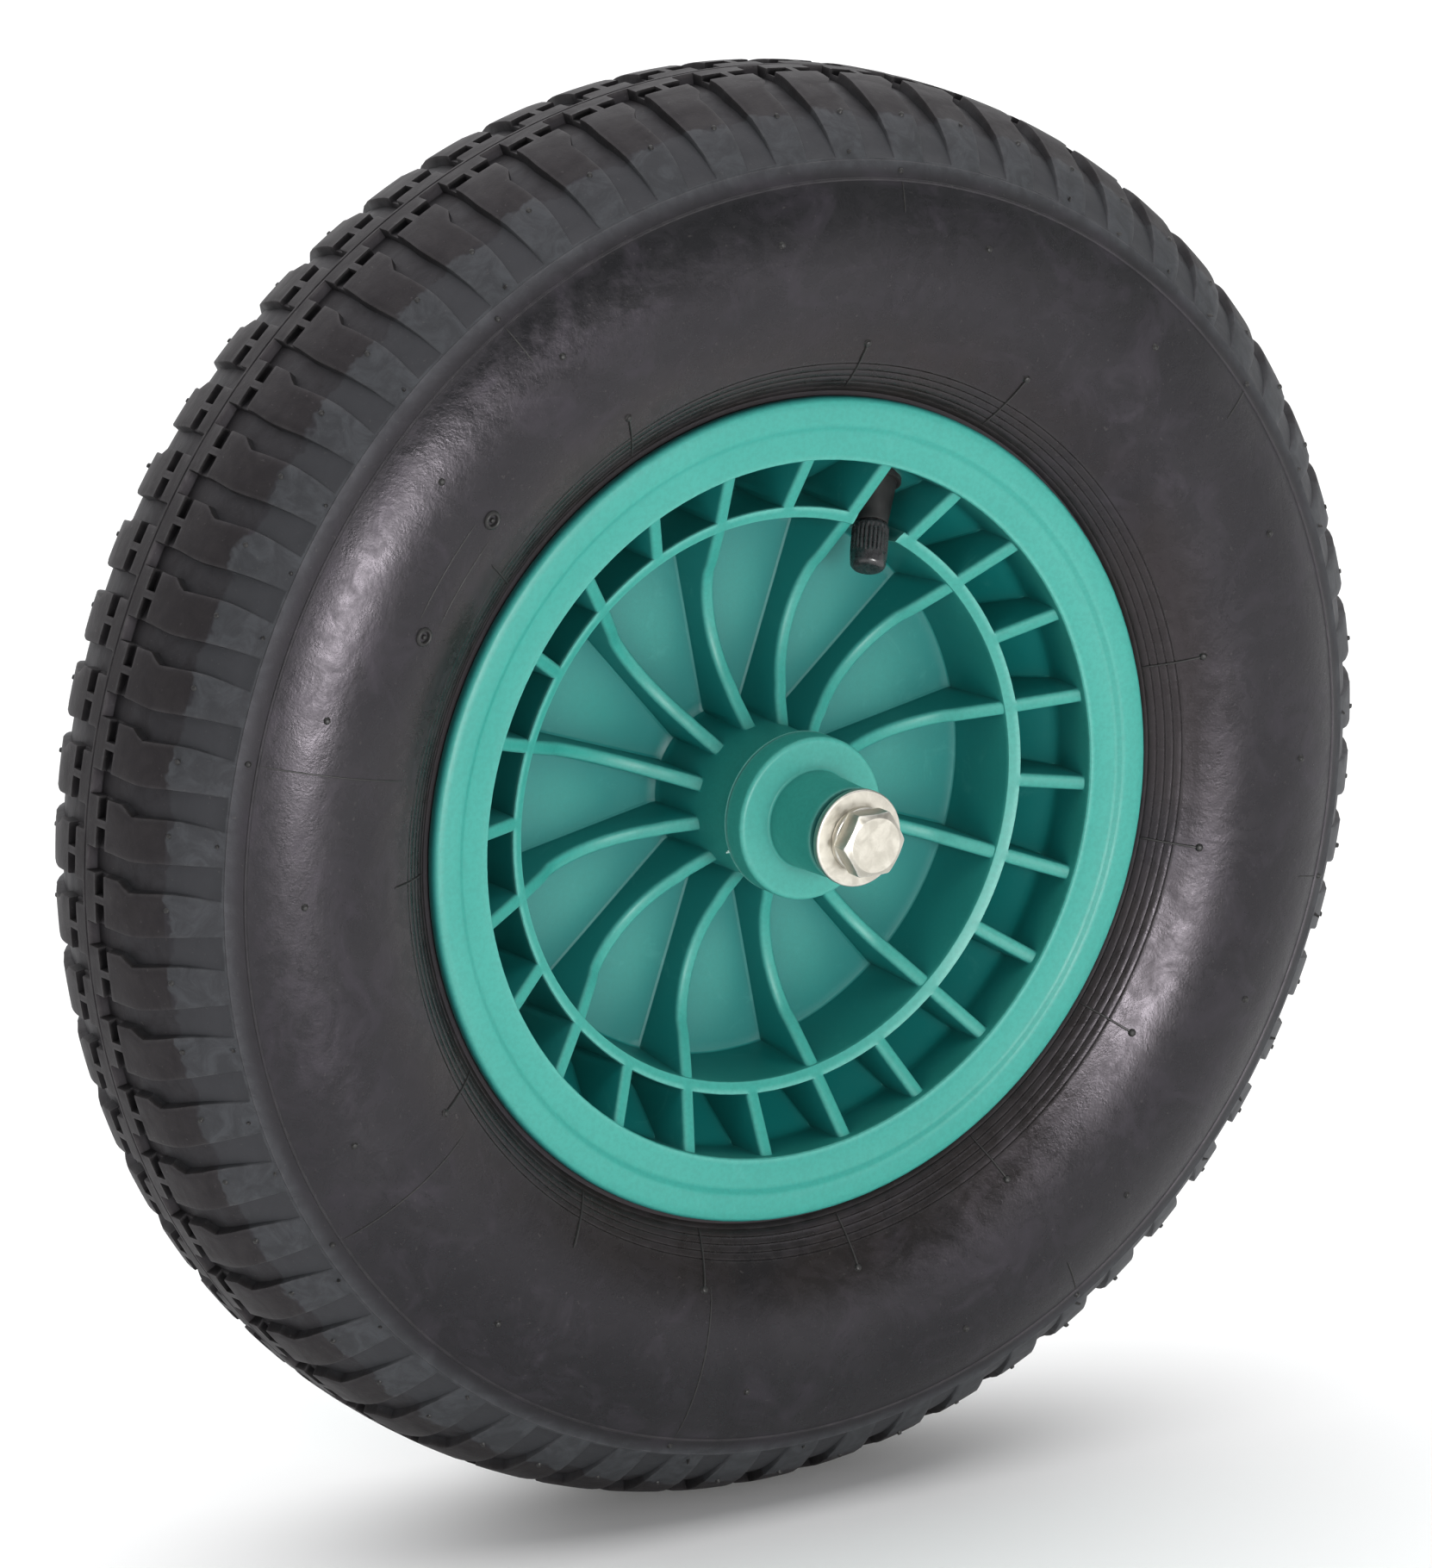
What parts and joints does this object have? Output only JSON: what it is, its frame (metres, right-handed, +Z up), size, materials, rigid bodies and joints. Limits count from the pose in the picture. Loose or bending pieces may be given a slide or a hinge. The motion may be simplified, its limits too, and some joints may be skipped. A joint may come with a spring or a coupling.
{
  "type": "wheelbarrow wheel",
  "caption": "Pneumatic wheelbarrow wheel: tube tyre on a ribbed plastic rim whose flanged bushes turn on a steel axle bar with a washer, lock washer and screw in each end.",
  "frame": {"origin": "centre of the wheel, on the axle's axis midway between the flanges", "axes": "+Y along the axle (the wheel spins about it), +Z up, the valve is on the -Y side"},
  "size_m": [0.3998, 0.1564, 0.3998],
  "materials": {
    "tyre_rubber": "matt black rubber with a dusty bloom",
    "tube_rubber": "smooth soft rubber",
    "bead_steel": "copper-washed drawn steel wire",
    "rim_plastic": "satin moulded plastic, teal green",
    "bush_plastic": "satin moulded plastic, teal green",
    "axle_steel": "bright drawn steel bar",
    "zinc_steel": "zinc plated steel",
    "spring_steel": "bright spring wire",
    "valve_rubber": "smooth black rubber",
    "seal_rubber": "smooth black rubber",
    "valve_brass": "turned brass",
    "cap_plastic": "fine-ribbed black plastic"
  },
  "bodies": {
    "axle": {"axle_bar": "axle_steel", "axle_screw_near": "zinc_steel", "axle_screw_far": "zinc_steel", "washer_near": "zinc_steel", "washer_far": "zinc_steel", "lock_washer_near": "zinc_steel", "lock_washer_far": "zinc_steel"},
    "wheel": {"tyre_cover": "tyre_rubber", "bead_wire_near": "bead_steel", "bead_wire_far": "bead_steel", "inner_tube": "tube_rubber", "rim_moulding": "rim_plastic", "hub_bush_near": "bush_plastic", "hub_bush_far": "bush_plastic", "valve_stem": "valve_rubber", "valve_insert": "valve_brass", "valve_core_body": "valve_brass", "valve_core_gasket": "seal_rubber", "valve_core_spring": "spring_steel"},
    "valve_pin": {"valve_core_pin": "valve_brass", "valve_core_seal": "seal_rubber"},
    "valve_cap": {"valve_cap": "cap_plastic", "valve_cap_seal": "seal_rubber"}
  },
  "joints": [
    {"name": "wheel_spin", "type": "hinge", "parent": "axle", "child": "wheel", "pos_m": [0, 0, 0], "axis": [0, 1, 0], "continuous": true},
    {"name": "valve_pin_press", "type": "slide", "parent": "wheel", "child": "valve_pin", "axis": [0.3914, 0.4802, 0.785], "range_m": [0, 0.0014], "stiffness_N_per_m": 300, "springref_m": -0.002, "deforming": ["valve_core_spring"]},
    {"name": "valve_cap_off", "type": "slide", "parent": "wheel", "child": "valve_cap", "axis": [-0.3914, -0.4802, -0.785], "range_m": [0, 0.02]}
  ]
}
